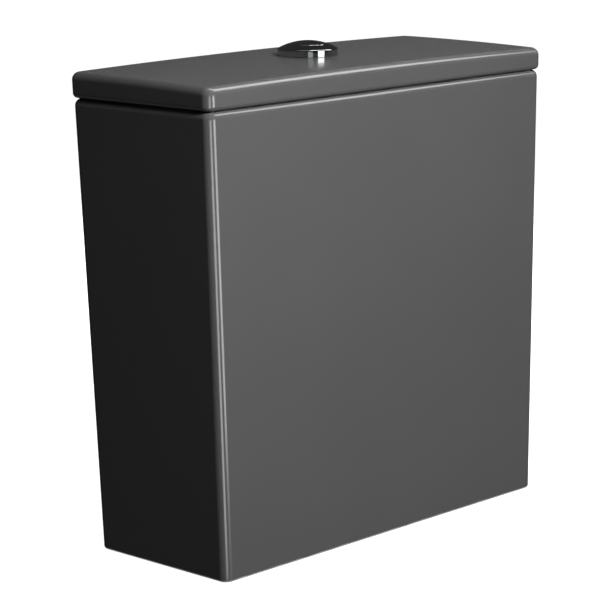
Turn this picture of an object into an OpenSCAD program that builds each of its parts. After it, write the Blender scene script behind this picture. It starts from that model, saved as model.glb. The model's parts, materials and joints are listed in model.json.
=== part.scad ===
// Close-coupled toilet cistern: a china tank and lid, a twin push button in the lid,
// a lever-worked outlet valve, a bottom-fed filling valve, and the bolts and gasket
// that join it to a pan. Millimetres, +Z up, front towards -Y. The origin lies midway
// between the two pan bolts, on the plane where the tank's foot seats on the pan.

/* [Tank] */
// Width across the rim
tank_w = 365; // [350:1:390]
// Width across the foot
tank_base_w = 348; // [335:1:365]
// Depth across the rim, front to back
tank_d = 144; // [140:1:160]
// Depth across the foot, front to back
tank_base_d = 135; // [133:1:144]
// Height from the pan seat to the rim
tank_h = 340; // [330:1:370]
// Thickness of the china walls
tank_wall = 10; // [8:0.5:11]
// Thickness of the floor
floor_t = 12; // [10:0.5:14]
// Depth of the recess under the floor
recess_h = 28; // [26:1:32]
// Thickness of the skirt around the recess
skirt_wall = 12; // [10:0.5:13]
// Radius of the upright edges
edge_r = 7; // [6.5:0.5:9]
// Radius along the outside of the rim
rim_r = 6; // [3:0.5:6]
// Radius along the foot
foot_r = 2.5; // [1:0.5:4]
// Distance of the outlet axis behind the front face
outlet_set = 80; // [77:1:81]

/* [Lid] */
// Overhang of the lid past the rim
lid_over = 0.7; // [0:0.1:3]
// Height of the lid at its front corners
lid_front_h = 16.8; // [15:0.2:20]
// Height of the lid at its back corners
lid_back_h = 19; // [17:0.2:22]
// Rise of the top at the middle of its width
lid_crown_w = 2; // [0.5:0.1:4]
// Rise of the top at the middle of its depth
lid_crown_d = 0.8; // [0.2:0.1:2]
// Radius along the top edge
lid_top_r = 6; // [3:0.5:6]
// Radius along the bottom edge
lid_foot_r = 3.5; // [2:0.5:4]
// Thickness of the top at the front corners
lid_t = 9; // [8:0.5:10]
// Depth of the lip that sits inside the rim
lip_h = 7; // [5:0.5:10]
// Thickness of that lip
lip_t = 5; // [4:0.5:7]

/* [Push button] */
// Diameter of the bezel on the lid
bezel_d = 46; // [45:0.5:52]
// Height of the bezel's wall
bezel_h = 5.5; // [5:0.5:7]
// Rise of the domed top above the bezel's wall
dome_h = 5.9; // [4:0.1:7]
// Diameter of the twin button inside the bezel
button_d = 31; // [29:0.5:33]
// Diameter of the threaded sleeve through the lid
sleeve_d = 41.2; // [40.6:0.2:42]
// Length of the sleeve below the lid's top
sleeve_l = 30; // [28:1:32]
// Travel of either button
press = 7; // [6:0.5:7.5]
// Diameter of the push rods
rod_d = 4; // [3.5:0.5:5]

/* [Outlet valve] */
// Thread diameter of the tail
tail_d = 60; // [58:0.5:60]
// Waterway through the tail
tail_bore = 50; // [46:1:51]
// Length of the tail below the pan seat
tail_drop = 18; // [16:1:22]
// Diameter of the base flange
base_d = 80; // [78:1:82]
// Height of the open cage above the flange
cage_h = 35; // [34:1:40]
// Diameter of the tower
tower_d = 60; // [59:0.5:62]
// Height of the tower above the cage
tower_h = 132; // [126:1:138]
// Diameter of the overflow tube
tube_d = 22; // [20:0.5:22]
// Bore of the overflow tube
tube_bore = 17; // [14:0.5:18]
// Rise of the overflow tube above the tower
overflow_rise = 33; // [30:1:34]
// Rise of the lever pivots above the tower
pivot_rise = 63; // [62:1:66]
// Lever length from pivot to push rod
rod_arm = 14; // [13:0.5:15]
// Lever length from pivot to the full lift
full_arm = 26; // [22:0.5:27]
// Lever length from pivot to the half lift
half_arm = 18; // [16:0.5:19]

/* [Filling valve] */
// Distance of the inlet in from the tank's left side at the rim
inlet_set = 60.5; // [57:0.5:65]
// Distance of the inlet in front of the outlet axis
inlet_y = 8; // [4:1:12]
// Thread diameter of the inlet shank
inlet_d = 20.96; // [20:0.02:22]
// Length of the shank below the pan seat
inlet_drop = 18; // [14:1:22]
// Diameter of the riser
riser_d = 18; // [16:0.5:19]
// Height of the valve head above the pan seat
head_z = 225; // [220:1:235]
// Diameter of the float cup
cup_d = 56; // [52:0.5:57]
// Height of the float cup
cup_h = 45; // [40:1:48]
// Travel of the float cup
cup_travel = 20; // [16:1:21]

/* [Pan fixing] */
// Spacing of the two pan bolts
bolt_spacing = 150; // [140:1:160]
// Thread diameter of the pan bolts
bolt_d = 8; // [7:0.5:9]
// Length of the bolts below the pan seat
bolt_drop = 28; // [20:1:35]
// Diameter of the pan gasket
gasket_d = 80; // [76:1:81]
// Length of the gasket below the pan seat
gasket_drop = 6; // [4:1:10]

/* [Fits] */
// Clearance between pieces that slide past each other
slide_gap = 0.3; // [0.2:0.05:0.4]
// Clearance around turning pins and screwed pieces
run_gap = 0.05; // [0.03:0.01:0.1]

/* [Hidden] */
$fn = 48;
hull_fn = 32;
china = [0.2, 0.2, 0.21];
chrome = [0.78, 0.79, 0.8];
white_plastic = [0.9, 0.91, 0.9];
blue_plastic = [0.3, 0.48, 0.66];
grey_plastic = [0.55, 0.57, 0.58];
rubber = [0.12, 0.12, 0.12];
steel = [0.66, 0.66, 0.64];

// Tank and lid
front_y = -outlet_set;
floor_z = recess_h + floor_t;
water_r = 12;
water_foot_r = 4;
recess_r = 8;
recess_draft = 2;
mouth_gap = 2;
under_z = tank_h + lid_front_h - lid_t;
seat_sink = 0.4;
crown_steps_w = 4;
crown_steps_d = 2;
function back_y(z) = front_y + tank_base_d + (tank_d - tank_base_d) * z / tank_h;
function half_w(z) = (tank_base_w + (tank_w - tank_base_w) * z / tank_h) / 2;
// Height of the lid's top; u runs -1 to 1 across the width, v runs 0 to 1 front to back
function lid_z(u, v) = tank_h + lid_front_h + (lid_back_h - lid_front_h) * v
    + lid_crown_w * (1 - u * u) + lid_crown_d * 4 * v * (1 - v);

// Push button
button_z = lid_z(0, outlet_set / tank_d) - seat_sink;
bezel_r = bezel_d / 2;
bezel_edge = 1.2;
sleeve_r = sleeve_d / 2;
sleeve_in_r = sleeve_r - 2;
plate_t = 3;
button_r = button_d / 2;
bezel_in_r = button_r + slide_gap;
flange_r = sleeve_in_r - 0.25;
head_low = bezel_h - 3;
flange_top = head_low + 2;
dome_r = (bezel_r * bezel_r + dome_h * dome_h) / (2 * dome_h);
dome_mid = bezel_h + dome_h - dome_r;
edge_mid = dome_mid + sqrt(pow(dome_r - bezel_edge, 2) - pow(bezel_r - bezel_edge, 2));
edge_turn = atan2(edge_mid - dome_mid, bezel_r - bezel_edge);
split_x = -2.5;
split_gap = 0.8;
rod_x = 8;
rod_y = -8;
rod_r = rod_d / 2;
stem_r = rod_r + 1.4;
stem_low = -sleeve_l - slide_gap;
rod_grip = 12;
rod_nut_h = 3;
coil_wire = 0.45;
coil_r = stem_r + 1;
coil_turns = 7;
nut_h = 8;
washer_t = 2;

// Outlet valve
seal_t = 3;
tail_r = tail_d / 2;
spigot_r = tail_r - 1;
flange_z = floor_z + seal_t;
flange_t = 4;
seat_z = flange_z + flange_t + 3;
ring_z = flange_z + flange_t + cage_h;
ring_t = 8;
tower_r = tower_d / 2;
tower_wall = 3;
ring_r = tower_r + 8;
foot_z = ring_z + ring_t;
top_z = foot_z + tower_h;
tube_r = tube_d / 2;
tube_top = top_z + overflow_rise;
outlet_nut_h = 11;
float_z = foot_z + 40;
float_h = 50;
lifter_z = top_z + 7;
yoke_z = top_z + 16;
yoke_h = 8;
pivot_y = rod_y + rod_arm;
pivot_z = top_z + pivot_rise;
pin_r = 2;
hub_r = 4.5;
nose_r = 2;
lever_w = 6;
lever_t = 4;
swing = atan(press / 2 / rod_arm);
full_lift = 2 * full_arm * sin(swing);
half_lift = 2 * half_arm * sin(swing);
cheek_x = 17;
cheek_t = 3;
rail_w = 4;
rail_head_w = 10;
rail_head_t = 3;
rail_reach = 7;
rail_set = 12;
rail_spare = 25;
ledge_w = 14;
ledge_t = 5;
half_float_set = 30;
half_float_z = foot_z + half_float_set;
half_float_h = 32;
half_float_w = 30;
half_float_d = 18;
half_float_wall = 1.6;
half_float_travel = 25;
shoe_w = 16;
shoe_gap = 1.5;

// Filling valve
inlet_x = tank_w / 2 - inlet_set;
inlet_r = inlet_d / 2;
shank_r = inlet_r + 0.3;
fill_nut_h = 9;
riser_r = riser_d / 2;
head_h = 20;
head_r = 16;
cap_r = 18.5;
cap_t = 4;
cap_skirt = 5;
cap_z = head_z + head_h + washer_t + cap_t;
ear_w = 8;
ear_t = 3;
ear_gap = 5;
pilot_r = 3;
cup_r = cup_d / 2;
cup_z = head_z - 10 - cup_travel - cup_h;
spout_reach = cup_r + 7;
spout_z = head_z + 8;
spout_r = 6;
hush_r = 5;
hush_bore = 3.65;
hush_low = 70;
link_x = cup_r - 3;
link_r = 1.5;
fork_pin_r = 1.2;
fork_w = 6;
fork_t = 2;
fork_gap = 4.8;
fork_drop = 6;
bridge_t = 3;
link_set = 2;
link_grip = 6;
fill_pivot_x = -6;
fill_pivot_z = head_z + 39;
fill_pin_r = 1.5;
fill_arm = link_x - fill_pivot_x;
fill_swing = atan(cup_travel / 2 / fill_arm);
link_pin_z = fill_pivot_z - cup_travel / 2;
tail_arm = 7;
tail_nose_r = 2.5;

// Pan fixing
bolt_r = bolt_d / 2;
bolt_shank_r = bolt_r + 0.4;
bolt_seal_h = 5;
bolt_hole_r = bolt_shank_r + 2.1;
bolt_washer_t = 2;
bolt_washer_over = 7;
bolt_nut_h = 6.5;
bolt_head_h = 5.5;
bolt_head_over = 3.5;
slot_w = 1.6;
slot_t = 2;

echo(full_lift = full_lift, half_lift = half_lift, swing = swing, fill_swing = fill_swing, button_z = button_z);

// Shared shapes

function arc(cx, cz, r, a0, a1, n) =
    [for (i = [0 : n]) let (a = a0 + (a1 - a0) * i / n) [cx + r * cos(a), cz + r * sin(a)]];

// Disc with a rounded top edge, z 0 to round
module rim_disc(r, round)
    rotate_extrude($fn = hull_fn)
        polygon(concat([[0, 0]], arc(r - round, 0, round, 0, 90, 6), [[0, round]]));

// Disc with a rounded bottom edge, z 0 to round
module foot_disc(r, round)
    rotate_extrude($fn = hull_fn)
        polygon(concat([[0, 0]], arc(r - round, round, round, -90, 0, 6), [[0, round]]));

// Children at the four corners of the tank's plan at height z, set in by inset
module at_corners(z, inset, r)
    for (sx = [-1, 1], y = [front_y + inset + r, back_y(z) - inset - r])
        translate([sx * (half_w(z) - inset - r), y, z]) children();

module tube(r, bore, z0, z1)
    translate([0, 0, z0])
        difference() {
            cylinder(r = r, h = z1 - z0);
            translate([0, 0, -1]) cylinder(r = bore, h = z1 - z0 + 2);
        }

module hex(r, h) cylinder(r = r, h = h, $fn = 6);

// Box from its two corners
module box(a, b) translate(a) cube(b - a);

// Rod along X from x0 to x1
module rod_along_x(r, x0, x1) translate([x0, 0, 0]) rotate([0, 90, 0]) cylinder(r = r, h = x1 - x0);

// Rod along Y from y0 to y1
module rod_along_y(r, y0, y1) translate([0, y0, 0]) rotate([-90, 0, 0]) cylinder(r = r, h = y1 - y0);

module at_bolts() for (sx = [-1, 1]) translate([sx * bolt_spacing / 2, 0, 0]) children();

module at_inlet() translate([-inlet_x, -inlet_y, 0]) children();

// Rounded rectangle ring, out to the given insets from the tank's faces at the rim
module mouth_outline(inset, r) {
    x = half_w(tank_h) - inset;
    y0 = front_y + inset;
    y1 = back_y(tank_h) - inset;
    translate([-x + r, y0]) square([2 * (x - r), y1 - y0]);
    translate([-x, y0 + r]) square([2 * x, y1 - y0 - 2 * r]);
    for (px = [-x + r, x - r], py = [y0 + r, y1 - r]) translate([px, py]) circle(r = r);
}

// China

module tank() color(china)
    difference() {
        hull() {
            at_corners(0, 0, edge_r) foot_disc(edge_r, foot_r);
            at_corners(tank_h, 0, edge_r) translate([0, 0, -rim_r]) rim_disc(edge_r, rim_r);
        }
        hull() {
            at_corners(floor_z, tank_wall, water_r) foot_disc(water_r, water_foot_r);
            at_corners(tank_h, tank_wall, water_r) cylinder(r = water_r, h = 1, $fn = hull_fn);
        }
        hull() {
            at_corners(0, skirt_wall, recess_r) translate([0, 0, -1]) cylinder(r = recess_r, h = 1, $fn = hull_fn);
            at_corners(recess_h, skirt_wall + recess_draft, recess_r)
                translate([0, 0, -water_foot_r]) rim_disc(recess_r, water_foot_r);
        }
        translate([0, 0, recess_h - 1]) cylinder(r = tail_r + 1.5, h = floor_t + 2);
        at_bolts() translate([0, 0, recess_h - 1]) cylinder(r = bolt_hole_r, h = floor_t + 2);
        at_inlet() translate([0, 0, recess_h - 1]) cylinder(r = shank_r + 0.8, h = floor_t + 2);
    }

// Rounded discs over the lid's top, whose hull is the gentle crown
module lid_crown() {
    top = tank_h + lid_front_h;
    x = half_w(top) + lid_over - edge_r;
    y0 = front_y - lid_over + edge_r;
    y1 = back_y(top) + lid_over - edge_r;
    for (i = [0 : crown_steps_w], j = [0 : crown_steps_d])
        let (u = 2 * i / crown_steps_w - 1, v = j / crown_steps_d)
            translate([u * x, y0 + v * (y1 - y0), lid_z(u, v) - lid_top_r]) rim_disc(edge_r, lid_top_r);
}

module lid() color(china) {
    lip_in = tank_wall + mouth_gap + lip_t;
    difference() {
        hull() {
            at_corners(tank_h, -lid_over, edge_r) foot_disc(edge_r, lid_foot_r);
            lid_crown();
        }
        hull() {
            at_corners(tank_h, lip_in, water_r) translate([0, 0, -1]) cylinder(r = water_r, h = 1, $fn = hull_fn);
            at_corners(tank_h, lip_in + 1, water_r)
                translate([0, 0, under_z - tank_h - water_foot_r]) rim_disc(water_r, water_foot_r);
        }
        translate([0, 0, tank_h]) cylinder(r = sleeve_r + 0.6, h = 40);
        translate([0, 0, button_z]) cylinder(r = bezel_r + 0.4, h = 20);
    }
    translate([0, 0, tank_h - lip_h])
        linear_extrude(lip_h + 1)
            difference() {
                mouth_outline(tank_wall + mouth_gap, water_r - mouth_gap);
                mouth_outline(lip_in, water_r - mouth_gap - lip_t);
            }
}

// Push button

module button_bezel() color(chrome)
    translate([0, 0, button_z]) {
        rotate_extrude()
            polygon(concat(
                [[sleeve_in_r, -sleeve_l], [sleeve_r, -sleeve_l], [sleeve_r, 0], [bezel_r, 0]],
                arc(bezel_r - bezel_edge, edge_mid, bezel_edge, 0, edge_turn, 4),
                arc(0, dome_mid, dome_r, edge_turn + 1, acos(bezel_in_r / dome_r), 4),
                [[bezel_in_r, flange_top + slide_gap], [sleeve_in_r, flange_top + slide_gap]]));
        translate([0, 0, -sleeve_l])
            difference() {
                cylinder(r = sleeve_in_r + 0.5, h = plate_t);
                for (sx = [-1, 1]) translate([sx * rod_x, rod_y, -1])
                    cylinder(r = stem_r + slide_gap, h = plate_t + 2);
                translate([0, rod_x, -1]) cylinder(r = 5, h = plate_t + 2);
            }
    }

module button_washer() color(rubber)
    tube(sleeve_r + 7, sleeve_r + run_gap, under_z - washer_t, under_z);

module button_nut() color(white_plastic)
    translate([0, 0, under_z - washer_t - nut_h])
        difference() {
            union() {
                cylinder(r = sleeve_r + 4, h = nut_h);
                translate([0, 0, nut_h - 2.5]) cylinder(r = sleeve_r + 6.5, h = 2.5);
                for (i = [0 : 7]) rotate(i * 45) box([sleeve_r + 2, -2, 0], [sleeve_r + 6.5, 2, nut_h - 1]);
            }
            translate([0, 0, -1]) cylinder(r = sleeve_r + run_gap, h = nut_h + 2);
        }

// Domed half of the twin button on its guide stem; side is 1 for full and -1 for half
module button(side) {
    x_edge = split_x + side * split_gap / 2;
    translate([0, 0, button_z])
        difference() {
            union() {
                intersection() {
                    union() {
                        translate([0, 0, head_low]) cylinder(r = flange_r, h = flange_top - head_low);
                        translate([0, 0, head_low]) cylinder(r = button_r, h = bezel_h + dome_h);
                    }
                    translate([0, 0, dome_mid]) sphere(r = dome_r, $fn = 96);
                    translate([side > 0 ? x_edge : x_edge - 60, -30, 0]) cube([60, 60, 30]);
                }
                translate([side * rod_x, rod_y, stem_low]) cylinder(r = stem_r, h = head_low + 1 - stem_low);
            }
            translate([side * rod_x, rod_y, stem_low - 1]) cylinder(r = rod_r + run_gap, h = rod_grip + 2);
        }
}

module full_button() color(chrome) button(1);

module half_button() color(chrome) button(-1);

// Wound spring as one unbroken tube, with the points of its centre line
function coil_points(r, z0, z1, turns) =
    [for (i = [0 : turns * 8]) [r * cos(i * 45), r * sin(i * 45), z0 + (z1 - z0) * i / (turns * 8)]];

module coil(r, wire, z0, z1, turns) {
    path = coil_points(r, z0, z1, turns);
    n = len(path) - 1;
    rings = [for (i = [0 : n]) let (a = i * 45) for (k = [0 : 5])
        path[i] + wire * (cos(k * 60) * [cos(a), sin(a), 0] + sin(k * 60) * [0, 0, 1])];
    walls = [for (i = [0 : n - 1], k = [0 : 5])
        let (a = i * 6 + k, b = i * 6 + (k + 1) % 6)
            each [[a, b, b + 6], [a, b + 6, a + 6]]];
    ends = [for (k = [1 : 4]) each [[0, k + 1, k], [n * 6, n * 6 + k, n * 6 + k + 1]]];
    // Points half a turn or more apart along the wire
    least = min([for (i = [0 : n], j = [i + 4 : 1 : n]) norm(path[i] - path[j])]) - 2 * wire;
    echo(coil_least_gap = least);
    polyhedron(rings, concat(walls, ends));
}

module button_spring(side)
    translate([side * rod_x, rod_y, button_z])
        coil(coil_r, coil_wire, plate_t - sleeve_l + coil_wire + 0.05, head_low - coil_wire - 0.05, coil_turns);

module full_spring() color(steel) button_spring(1);

module half_spring() color(steel) button_spring(-1);

// Rod from inside the stem down to the lever's pad
module push_rod(side) {
    tip_z = pivot_z + rod_arm * tan(swing) + slide_gap + rod_r / cos(swing);
    translate([side * rod_x, rod_y, tip_z]) {
        sphere(r = rod_r);
        cylinder(r = rod_r, h = button_z + stem_low + rod_grip - tip_z);
    }
}

module full_rod() color(steel) push_rod(1);

module half_rod() color(steel) push_rod(-1);

module rod_nut(side)
    translate([side * rod_x, rod_y, button_z + stem_low - rod_nut_h])
        difference() {
            hex(stem_r + 1.8, rod_nut_h);
            translate([0, 0, -1]) cylinder(r = rod_r + run_gap, h = rod_nut_h + 2);
        }

module full_rod_nut() color(white_plastic) rod_nut(1);

module half_rod_nut() color(white_plastic) rod_nut(-1);

// Outlet valve

module outlet_base() color(white_plastic)
    difference() {
        union() {
            translate([0, 0, -tail_drop]) cylinder(r = spigot_r, h = tail_drop + floor_z);
            translate([0, 0, -gasket_drop]) cylinder(r = tail_r, h = gasket_drop + flange_z);
            translate([0, 0, flange_z]) cylinder(r = base_d / 2, h = flange_t);
            translate([0, 0, flange_z]) cylinder(r = tail_bore / 2 + 3, h = seat_z - flange_z);
            for (a = [45 : 90 : 315]) rotate(a)
                box([tower_r + 2, -4, flange_z + 1], [ring_r - 1, 4, ring_z + 1]);
            tube(ring_r, tower_r + slide_gap, ring_z, foot_z);
        }
        translate([0, 0, -tail_drop - 1]) cylinder(r = tail_bore / 2, h = seat_z + tail_drop + 2);
    }

module base_washer() color(rubber) tube(base_d / 2 - 1, tail_r + run_gap, floor_z, flange_z);

module outlet_nut() color(white_plastic)
    translate([0, 0, recess_h - outlet_nut_h])
        difference() {
            union() {
                cylinder(r = tail_r + 6, h = outlet_nut_h);
                for (i = [0 : 7]) rotate(i * 45 + 22.5) box([tail_r, -4, 0], [tail_r + 8.5, 4, outlet_nut_h - 2]);
            }
            translate([0, 0, -1]) cylinder(r = tail_r + run_gap, h = outlet_nut_h + 2);
        }

module pan_gasket() color(rubber)
    rotate_extrude()
        polygon([
            [tail_r + run_gap, -gasket_drop], [gasket_d / 2 - 5, -gasket_drop], [gasket_d / 2, 1],
            [gasket_d / 2, recess_h - outlet_nut_h - 2], [gasket_d / 2 - 2, recess_h - outlet_nut_h],
            [tail_r + run_gap, recess_h - outlet_nut_h]]);

module valve_tower() color(white_plastic) {
    difference() {
        union() {
            translate([0, 0, ring_z]) cylinder(r = tower_r, h = top_z - ring_z);
            translate([0, 0, foot_z]) cylinder(r = ring_r, h = 4);
            translate([0, 0, top_z - 1]) cylinder(r = tube_r + 5, h = lifter_z - slide_gap - top_z + 1);
            half_rail();
        }
        translate([0, 0, ring_z - 1]) cylinder(r = tower_r - tower_wall, h = top_z - 3 - ring_z + 1);
        translate([0, 0, ring_z]) cylinder(r = tube_r + slide_gap + 0.1, h = tower_h + 40);
        for (a = [45 : 90 : 315]) rotate(a)
            box([tower_r - 10, -8, foot_z + 10], [tower_r + 5, 8, foot_z + 80]);
    }
}

// Guide rail on the tower's front, with a ledge under the half-flush float
module half_rail() {
    z0 = foot_z + rail_set;
    z1 = half_float_z + half_float_h + half_float_travel + rail_spare;
    y_root = tower_wall - tower_r - 1;
    y_head = -tower_r - rail_reach;
    box([-rail_w / 2, y_head + rail_head_t - 0.5, z0], [rail_w / 2, y_root, z1]);
    box([-rail_head_w / 2, y_head, z0], [rail_head_w / 2, y_head + rail_head_t, z1]);
    box([-ledge_w / 2, y_head - 2, half_float_z - ledge_t], [ledge_w / 2, y_root, half_float_z - slide_gap]);
}

module half_float() color(blue_plastic) {
    z0 = half_float_z;
    z1 = z0 + half_float_h;
    y_head = -tower_r - rail_reach;
    y_cup = y_head - 3;
    t = half_float_wall;
    g = slide_gap;
    difference() {
        box([-half_float_w / 2, y_cup - half_float_d, z0], [half_float_w / 2, y_cup, z1]);
        box([t - half_float_w / 2, y_cup - half_float_d + t, z0 - 1], [half_float_w / 2 - t, y_cup - t, z1 - t]);
    }
    difference() {
        box([-shoe_w / 2, y_cup - 0.5, z0], [shoe_w / 2, -tower_r - shoe_gap, z1]);
        box([-rail_head_w / 2 - g, y_head - g, z0 - 1], [rail_head_w / 2 + g, y_head + rail_head_t + g, z1 + 1]);
        box([-rail_w / 2 - g, y_head + 2, z0 - 1], [rail_w / 2 + g, -tower_r, z1 + 1]);
    }
}

// Frame on the tower's top that carries the two levers between its cheeks
module lever_frame() color(grey_plastic)
    difference() {
        union() {
            tube(tower_r, tube_r + 10, top_z, top_z + 4);
            for (sx = [-1, 1])
                translate([sx * (cheek_x + cheek_t / 2), 0, 0])
                    box([-cheek_t / 2, rod_y - 8, top_z], [cheek_t / 2, pivot_y + 6, pivot_z + 6]);
            box([-cheek_x - 1, rod_y - 10, pivot_z - 26], [cheek_x + 1, rod_y - 7, pivot_z - 8]);
        }
        translate([0, pivot_y, pivot_z]) rod_along_x(pin_r + run_gap, -40, 40);
    }

module lever_pin() color(steel)
    translate([0, pivot_y, pivot_z]) {
        rod_along_x(pin_r, -cheek_x - cheek_t - 1.5, cheek_x + cheek_t + 0.5);
        rod_along_x(pin_r + 1.5, cheek_x + cheek_t, cheek_x + cheek_t + 1.5);
        rod_along_x(pin_r + 1.2, -cheek_x - cheek_t - 1.5, -cheek_x - cheek_t);
    }

// Two-armed lever at rest: the pad under the rod is up, the nose under the lug is down
module lever(side, arm)
    translate([0, pivot_y, pivot_z])
        rotate([-swing, 0, 0])
            difference() {
                union() {
                    scale([side, 1, 1]) rod_along_x(hub_r, 0.6, cheek_x - 0.6);
                    translate([side * rod_x - lever_w / 2, 0, 0]) {
                        box([0, -rod_arm - 4, -lever_t], [lever_w, 0, 0]);
                        box([0, 0, -2], [lever_w, arm, 0.5]);
                        translate([0, arm, 0]) rod_along_x(nose_r, 0, lever_w);
                    }
                }
                rod_along_x(pin_r + run_gap, -30, 30);
            }

module full_lever() color(blue_plastic) lever(1, full_arm);

module half_lever() color(white_plastic) lever(-1, half_arm);

// Ring on the tube with a hooked arm that the lever's nose lifts
module lift_hook(side, arm, z, h, bore) {
    y_post = pivot_y + arm + nose_r + 1;
    lug_z = pivot_z - arm * sin(swing) + nose_r + slide_gap;
    tube(tube_r + 4, bore, z, z + h);
    translate([side * rod_x - lever_w / 2, 0, 0]) {
        difference() {
            box([0, 6, z], [lever_w, y_post + 4, z + 6]);
            translate([lever_w / 2 - side * rod_x, 0, z - 1]) cylinder(r = tube_r + 2, h = 8);
        }
        box([0, y_post, z], [lever_w, y_post + 4, lug_z + 4]);
        box([0, y_post - 6, lug_z], [lever_w, y_post + 4, lug_z + 4]);
    }
}

module lift_yoke() color(blue_plastic) lift_hook(1, full_arm, yoke_z, yoke_h, tube_r + run_gap);

module half_lifter() color(white_plastic)
    lift_hook(-1, half_arm, lifter_z, yoke_z - lifter_z - slide_gap, tube_r + slide_gap + 0.1);

module overflow_tube() color(grey_plastic)
    difference() {
        union() {
            translate([0, 0, seat_z - 5]) cylinder(r = tube_r, h = tube_top - seat_z + 5);
            translate([0, 0, seat_z + seal_t]) cylinder(r = tail_bore / 2 + 2, h = 3);
            translate([0, 0, float_z + float_h]) cylinder(r = tube_r + 2, h = 3);
            translate([0, 0, yoke_z + yoke_h]) cylinder(r = tube_r + 1.5, h = 2.5);
        }
        translate([0, 0, seat_z - 6]) cylinder(r = tube_bore / 2, h = tube_top - seat_z + 7);
    }

// Air-filled cup, open below, that holds the valve up while the tank empties
module outlet_float() color(blue_plastic)
    rotate_extrude()
        polygon([
            [tube_r + run_gap, float_z], [tube_r + 2, float_z], [tube_r + 2, float_z + float_h - 2],
            [tower_r - 8, float_z + float_h - 2], [tower_r - 8, float_z], [tower_r - 6, float_z],
            [tower_r - 6, float_z + float_h], [tube_r + run_gap, float_z + float_h]]);

module outlet_seal() color(rubber) tube(tail_bore / 2 + 5, tube_r + run_gap, seat_z, seat_z + seal_t);

module seal_clip() color(white_plastic) tube(tube_r + 5, tube_r + run_gap, seat_z - 3, seat_z);

// Filling valve

module fill_body() color(white_plastic)
    at_inlet()
        difference() {
            union() {
                translate([0, 0, -inlet_drop]) cylinder(r = inlet_r, h = inlet_drop + recess_h);
                translate([0, 0, recess_h - fill_nut_h - 1]) cylinder(r = shank_r, h = floor_t + fill_nut_h + 2);
                translate([0, 0, flange_z]) cylinder(r = shank_r + 7, h = flange_t);
                translate([0, 0, floor_z]) cylinder(r = shank_r, h = flange_t + seal_t);
                translate([0, 0, flange_z]) cylinder(r = riser_r, h = head_z - flange_z + 1);
                translate([0, 0, cup_z - 4]) cylinder(r = riser_r + 2.5, h = 4 - slide_gap);
                translate([0, 0, head_z]) cylinder(r = head_r, h = head_h);
                translate([0, 0, spout_z]) rod_along_y(spout_r, 0, spout_reach + spout_r);
                translate([0, spout_reach, spout_z - 16]) cylinder(r = hush_bore - run_gap, h = 16);
            }
            translate([0, 0, -inlet_drop - 1]) cylinder(r = 6, h = head_z + inlet_drop + 12);
            translate([0, 0, spout_z]) rod_along_y(spout_r - 2.5, 0, spout_reach + 1);
            translate([0, spout_reach, spout_z - 17]) cylinder(r = hush_bore - 1.2, h = 17);
        }

module fill_washer() color(rubber) at_inlet() tube(shank_r + 6.5, shank_r + run_gap, floor_z, flange_z);

module fill_nut() color(white_plastic)
    at_inlet()
        translate([0, 0, recess_h - fill_nut_h])
            difference() {
                union() {
                    hex(shank_r + 7, fill_nut_h - 2);
                    translate([0, 0, fill_nut_h - 2]) cylinder(r = shank_r + 7, h = 2);
                }
                translate([0, 0, -1]) cylinder(r = shank_r + run_gap, h = fill_nut_h + 2);
            }

// Slotted strainer inside the shank
module inlet_filter() color(blue_plastic)
    at_inlet()
        difference() {
            tube(6 - run_gap, 4.8, -inlet_drop, 14);
            for (a = [0 : 45 : 135]) rotate(a)
                box([-8, -0.7, 4 - inlet_drop], [8, 0.7, 11]);
        }

module hush_pipe() color(grey_plastic)
    at_inlet() translate([0, spout_reach, 0]) tube(hush_r, hush_bore, hush_low, spout_z - spout_r - 0.2);

module fill_diaphragm() color(rubber)
    at_inlet() translate([0, 0, head_z + head_h]) cylinder(r = head_r - 0.5, h = washer_t);

module fill_cap() color(grey_plastic)
    at_inlet()
        difference() {
            union() {
                tube(cap_r, head_r + run_gap, head_z + head_h - cap_skirt, cap_z - 1);
                translate([0, 0, cap_z - cap_t]) cylinder(r = cap_r, h = cap_t);
                for (sy = [-1, 1])
                    translate([fill_pivot_x, sy * (ear_gap + ear_t) / 2, 0])
                        box([-ear_w / 2, -ear_t / 2, cap_z - 1], [ear_w / 2, ear_t / 2, fill_pivot_z + ear_w / 2]);
                translate([fill_pivot_x - tail_arm, 0, cap_z - 1]) cylinder(r = pilot_r, h = pilot_z() - cap_z + 1);
            }
            translate([fill_pivot_x, 0, fill_pivot_z]) rod_along_y(fill_pin_r + run_gap, -20, 20);
        }

// Top of the pilot nipple, just under the lever's tail when the float is up
function pilot_z() = fill_pivot_z - tail_arm * sin(fill_swing) - tail_nose_r - slide_gap;

// Lever at rest with the float down
module fill_lever() color(blue_plastic)
    at_inlet()
        translate([fill_pivot_x, 0, fill_pivot_z])
            rotate([0, fill_swing, 0])
                difference() {
                    union() {
                        box([-tail_arm, -2, -2.5], [fill_arm / cos(fill_swing) + 6, 2, 3]);
                        translate([-tail_arm, 0, 0]) rod_along_y(tail_nose_r, -2, 2);
                    }
                    rod_along_y(fill_pin_r + run_gap, -10, 10);
                    translate([fill_arm, 0, 0]) {
                        slot_r = fork_pin_r + 0.4;
                        slot_l = fill_arm / cos(fill_swing) - fill_arm + 0.4;
                        translate([-0.4, 0, 0]) rod_along_y(slot_r, -10, 10);
                        translate([slot_l, 0, 0]) rod_along_y(slot_r, -10, 10);
                        box([-0.4, -10, -slot_r], [slot_l, 10, slot_r]);
                    }
                }

module fill_lever_pin() color(steel)
    at_inlet()
        translate([fill_pivot_x, 0, fill_pivot_z]) {
            y = ear_gap / 2 + ear_t;
            rod_along_y(fill_pin_r, -y - 1, y + 1);
            rod_along_y(fill_pin_r + 1, y, y + 1.5);
            rod_along_y(fill_pin_r + 0.8, -y - 1.5, -y);
        }

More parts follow.
